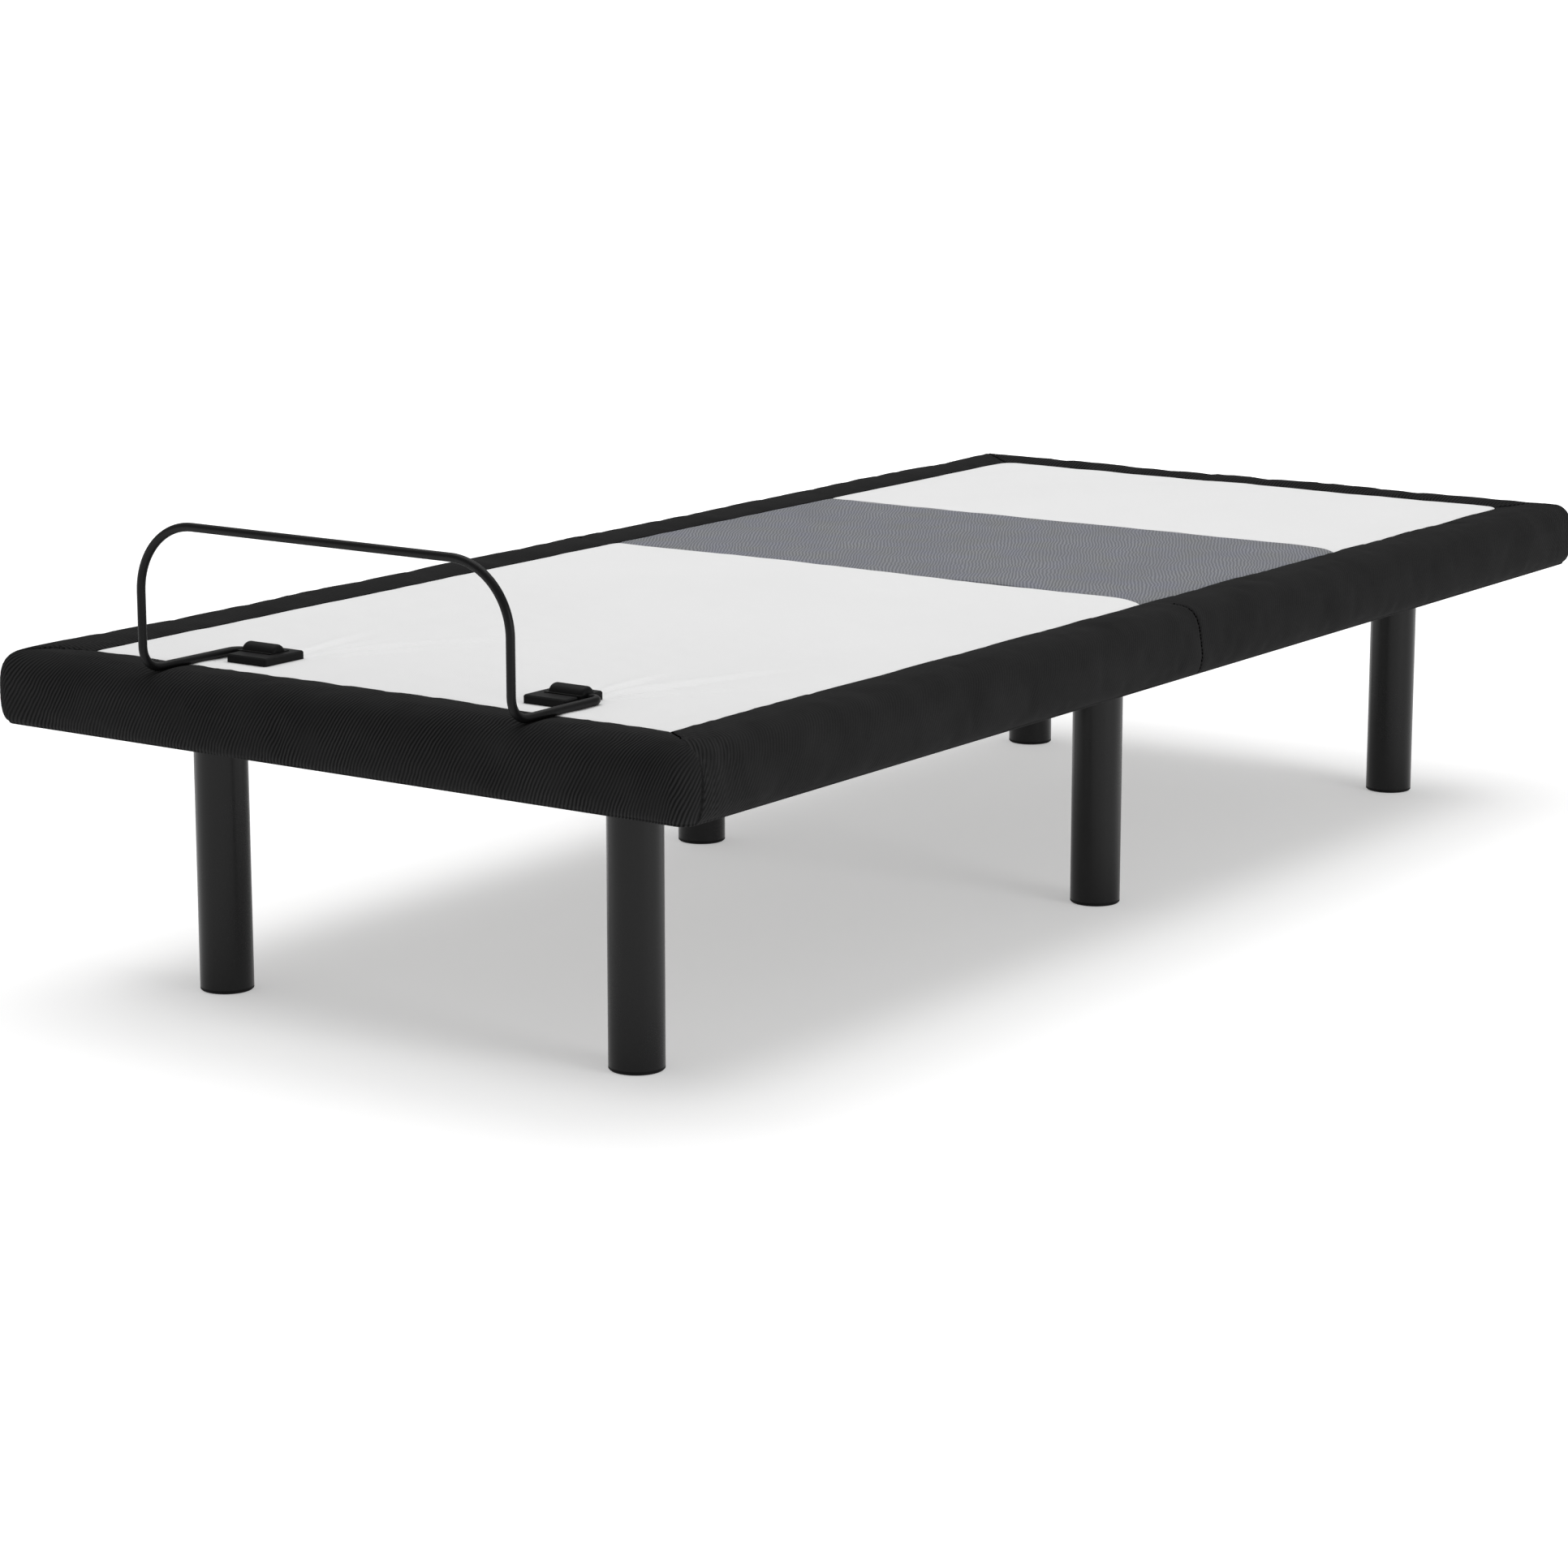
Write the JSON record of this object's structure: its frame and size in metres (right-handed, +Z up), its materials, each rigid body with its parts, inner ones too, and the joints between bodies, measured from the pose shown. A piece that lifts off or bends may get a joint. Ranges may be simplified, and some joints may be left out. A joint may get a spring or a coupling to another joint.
{
  "type": "adjustable bed base",
  "caption": "Long low upholstered platform on round legs, folding at hip and knee, with a bent-bar mattress stop at the foot end.",
  "frame": {"origin": "on the floor, under the middle of the deck's plan", "axes": "+X towards the head end, +Y to the left as seen from the foot end, +Z up"},
  "size_m": [2.02, 0.946, 0.5522],
  "materials": {
    "black_fabric": "matt ribbed knit",
    "white_fabric": "matt plain weave",
    "grey_fabric": "matt stretch rib knit",
    "plywood": "raw plywood",
    "black_powder_coat": "satin powder coat",
    "zinc_steel": "zinc plated",
    "black_plastic": "moulded, fine grain",
    "black_rubber": "matt"
  },
  "bodies": {
    "base": {"leg_risers": "black_powder_coat", "leg_studs": "zinc_steel", "leg_glides": "black_rubber", "leg_plates": "black_powder_coat", "side_rail_foot_left": "black_powder_coat", "side_rail_foot_right": "black_powder_coat", "side_rail_head_left": "black_powder_coat", "side_rail_head_right": "black_powder_coat", "frame_cross_tubes": "black_powder_coat", "splice_plates": "black_powder_coat", "splice_bolts": "zinc_steel", "hinge_brackets": "black_powder_coat", "hinge_pins": "zinc_steel", "link_brackets": "black_powder_coat", "rest_bumpers": "black_rubber", "seat_board": "plywood", "seat_foam": "grey_fabric", "seat_border": "black_fabric", "seat_side_bars": "black_powder_coat", "back_guide_tube": "zinc_steel", "back_drive_housing": "black_plastic", "back_motor": "black_plastic", "back_drive_hanger": "black_powder_coat", "leg_guide_tube": "zinc_steel", "leg_drive_housing": "black_plastic", "leg_motor": "black_plastic", "leg_drive_hanger": "black_powder_coat", "control_box": "black_plastic", "mains_inlet": "black_plastic", "lower_leg_foot_left": "black_powder_coat", "lower_leg_foot_right": "black_powder_coat", "lower_leg_middle_left": "black_powder_coat", "lower_leg_middle_right": "black_powder_coat", "lower_leg_head_left": "black_powder_coat", "lower_leg_head_right": "black_powder_coat"},
    "back": {"back_frame_tubes": "black_powder_coat", "back_board": "plywood", "back_foam": "white_fabric", "back_border": "black_fabric", "back_crank": "black_powder_coat"},
    "thigh": {"thigh_frame_tubes": "black_powder_coat", "thigh_board": "plywood", "thigh_foam": "white_fabric", "thigh_border": "black_fabric", "knee_hinge_pins": "zinc_steel", "leg_crank": "black_powder_coat"},
    "calf": {"calf_frame_tubes": "black_powder_coat", "calf_board": "plywood", "calf_foam": "white_fabric", "calf_border": "black_fabric", "calf_link_lugs": "black_powder_coat", "retainer_bracket_left": "black_plastic", "retainer_bracket_right": "black_plastic", "bracket_screws": "zinc_steel"},
    "support_link": {"support_link": "black_powder_coat"},
    "back_rod": {"back_push_rod": "zinc_steel"},
    "leg_rod": {"leg_push_rod": "zinc_steel"},
    "back_screw": {"back_screw": "zinc_steel"},
    "leg_screw": {"leg_screw": "zinc_steel"},
    "retainer_bar": {"retainer_bar": "black_powder_coat"}
  },
  "joints": [
    {"name": "back_lift", "type": "hinge", "parent": "base", "child": "back", "pos_m": [0.25, 0, 0.347], "axis": [0, -1, 0], "range_deg": [0, 60]},
    {"name": "thigh_lift", "type": "hinge", "parent": "base", "child": "thigh", "pos_m": [-0.1, 0, 0.347], "axis": [0, 1, 0], "range_deg": [0, 40]},
    {"name": "knee", "type": "hinge", "parent": "thigh", "child": "calf", "pos_m": [-0.47, 0, 0.347], "axis": [0, 1, 0], "range_deg": [-40, 0]},
    {"name": "support_link_turn", "type": "hinge", "parent": "base", "child": "support_link", "pos_m": [-0.53, 0, 0.323], "axis": [0, 1, 0], "range_deg": [0, 40]},
    {"name": "back_rod_travel", "type": "slide", "parent": "base", "child": "back_rod", "axis": [1, 0, 0], "range_m": [0, 0.1101]},
    {"name": "leg_rod_travel", "type": "slide", "parent": "base", "child": "leg_rod", "axis": [-1, 0, 0], "range_m": [0, 0.0753]},
    {"name": "back_screw_turn", "type": "hinge", "parent": "base", "child": "back_screw", "pos_m": [0, -0.1, 0.24437], "axis": [1, 0, 0], "range_deg": [0, 6601]},
    {"name": "leg_screw_turn", "type": "hinge", "parent": "base", "child": "leg_screw", "pos_m": [0.2, 0.1, 0.24437], "axis": [-1, 0, 0], "range_deg": [0, 4516]},
    {"name": "retainer_swing", "type": "hinge", "parent": "calf", "child": "retainer_bar", "pos_m": [-0.857, 0, 0.388], "axis": [0, 1, 0], "range_deg": [0, 130]}
  ],
  "couplings": [
    {"joint": "knee", "follows": "thigh_lift", "ratio": -1},
    {"joint": "support_link_turn", "follows": "thigh_lift", "ratio": 1},
    {"joint": "leg_rod_travel", "follows": "thigh_lift", "m_per_rad": 0.10778},
    {"joint": "leg_screw_turn", "follows": "thigh_lift", "ratio": 112.87},
    {"joint": "back_rod_travel", "follows": "back_lift", "m_per_rad": 0.10504},
    {"joint": "back_screw_turn", "follows": "back_lift", "ratio": 110}
  ]
}
